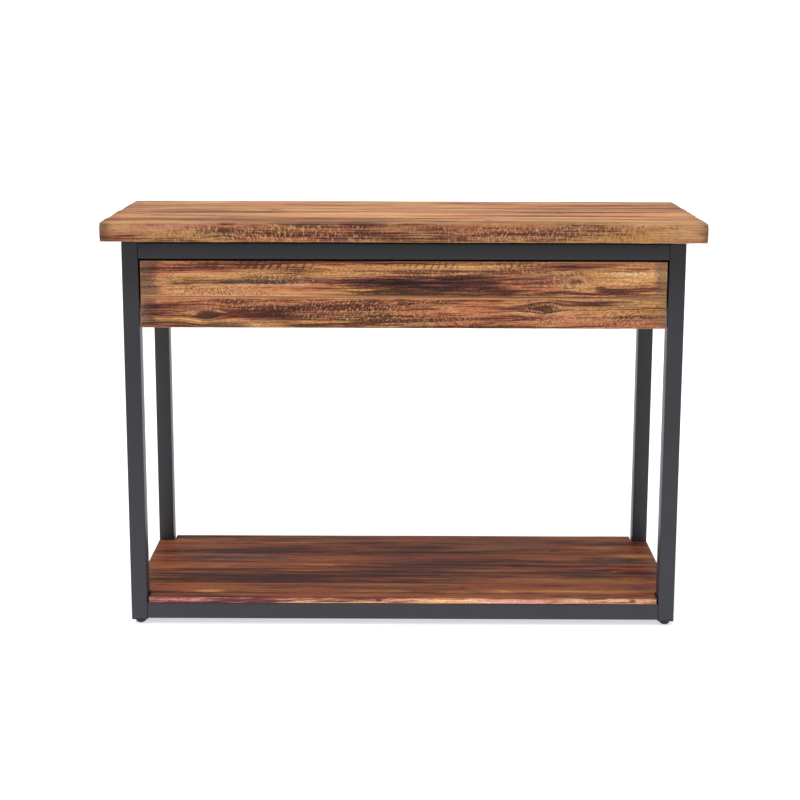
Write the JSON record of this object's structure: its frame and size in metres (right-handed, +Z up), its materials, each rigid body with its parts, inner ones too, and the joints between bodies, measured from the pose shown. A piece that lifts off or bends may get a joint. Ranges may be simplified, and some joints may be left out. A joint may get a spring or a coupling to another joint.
{
  "type": "console table",
  "caption": "Console table with a thick plank top on a square-tube steel frame, a low plank shelf, and a wide drawer on ball-bearing slides under the front rail.",
  "frame": {"origin": "on the floor, under the centre of the tabletop", "axes": "+Z up, +X along the table's length towards its right end seen from the front, -Y towards the front, the way the drawer opens"},
  "size_m": [1.092, 0.356, 0.762],
  "materials": {
    "slab_wood": "matte",
    "shelf_wood": "matte",
    "drawer_front_wood": "matte",
    "apron_wood": "matte",
    "box_wood": "matte",
    "plywood": "matte",
    "painted_steel": "satin",
    "zinc_steel": "satin",
    "bolt_steel": "satin",
    "black_plastic": "matte"
  },
  "bodies": {
    "frame": {"bottom_front_left_bolt": "bolt_steel", "bottom_front_rail": "painted_steel", "bottom_front_right_bolt": "bolt_steel", "bottom_left_rail": "painted_steel", "bottom_rear_left_bolt": "bolt_steel", "bottom_rear_rail": "painted_steel", "bottom_rear_right_bolt": "bolt_steel", "bottom_right_rail": "painted_steel", "front_left_leg": "painted_steel", "front_left_leg_plug": "black_plastic", "front_right_leg": "painted_steel", "front_right_leg_plug": "black_plastic", "left_apron": "apron_wood", "left_runner_batten": "box_wood", "left_slide_outer_member": "zinc_steel", "rear_apron": "apron_wood", "rear_left_leg": "painted_steel", "rear_left_leg_plug": "black_plastic", "rear_right_leg": "painted_steel", "rear_right_leg_plug": "black_plastic", "right_apron": "apron_wood", "right_runner_batten": "box_wood", "right_slide_outer_member": "zinc_steel", "shelf_board_1": "shelf_wood", "shelf_board_2": "shelf_wood", "shelf_board_3": "shelf_wood", "shelf_board_4": "shelf_wood", "shelf_board_5": "shelf_wood", "shelf_board_6": "shelf_wood", "shelf_board_7": "shelf_wood", "tabletop_board_1": "slab_wood", "tabletop_board_2": "slab_wood", "tabletop_board_3": "slab_wood", "tabletop_board_4": "slab_wood", "tabletop_board_5": "slab_wood", "tabletop_board_6": "slab_wood", "top_front_left_bolt": "bolt_steel", "top_front_rail": "painted_steel", "top_front_right_bolt": "bolt_steel", "top_left_rail": "painted_steel", "top_rear_left_bolt": "bolt_steel", "top_rear_rail": "painted_steel", "top_rear_right_bolt": "bolt_steel", "top_right_rail": "painted_steel"},
    "drawer": {"drawer_bottom": "plywood", "drawer_box_back": "box_wood", "drawer_box_front": "box_wood", "drawer_front_lower_board": "drawer_front_wood", "drawer_front_upper_board": "drawer_front_wood", "drawer_left_side": "box_wood", "drawer_right_side": "box_wood", "left_slide_inner_member": "zinc_steel", "right_slide_inner_member": "zinc_steel"},
    "left_slide_middle": {"left_slide_middle_member": "zinc_steel"},
    "right_slide_middle": {"right_slide_middle_member": "zinc_steel"},
    "front_left_foot": {"front_left_levelling_foot": "black_plastic"},
    "front_right_foot": {"front_right_levelling_foot": "black_plastic"},
    "rear_left_foot": {"rear_left_levelling_foot": "black_plastic"},
    "rear_right_foot": {"rear_right_levelling_foot": "black_plastic"}
  },
  "joints": [
    {"name": "drawer_slide", "type": "slide", "parent": "frame", "child": "drawer", "axis": [0, -1, 0], "range_m": [0, 0.25]},
    {"name": "left_slide_extension", "type": "slide", "parent": "frame", "child": "left_slide_middle", "axis": [0, -1, 0], "range_m": [0, 0.125]},
    {"name": "right_slide_extension", "type": "slide", "parent": "frame", "child": "right_slide_middle", "axis": [0, -1, 0], "range_m": [0, 0.125]},
    {"name": "front_left_foot_levelling", "type": "slide", "parent": "frame", "child": "front_left_foot", "axis": [0, 0, -1], "range_m": [0, 0.01]},
    {"name": "front_right_foot_levelling", "type": "slide", "parent": "frame", "child": "front_right_foot", "axis": [0, 0, -1], "range_m": [0, 0.01]},
    {"name": "rear_left_foot_levelling", "type": "slide", "parent": "frame", "child": "rear_left_foot", "axis": [0, 0, -1], "range_m": [0, 0.01]},
    {"name": "rear_right_foot_levelling", "type": "slide", "parent": "frame", "child": "rear_right_foot", "axis": [0, 0, -1], "range_m": [0, 0.01]}
  ],
  "couplings": [
    {"joint": "left_slide_extension", "follows": "drawer_slide", "ratio": 0.5},
    {"joint": "right_slide_extension", "follows": "drawer_slide", "ratio": 0.5}
  ]
}
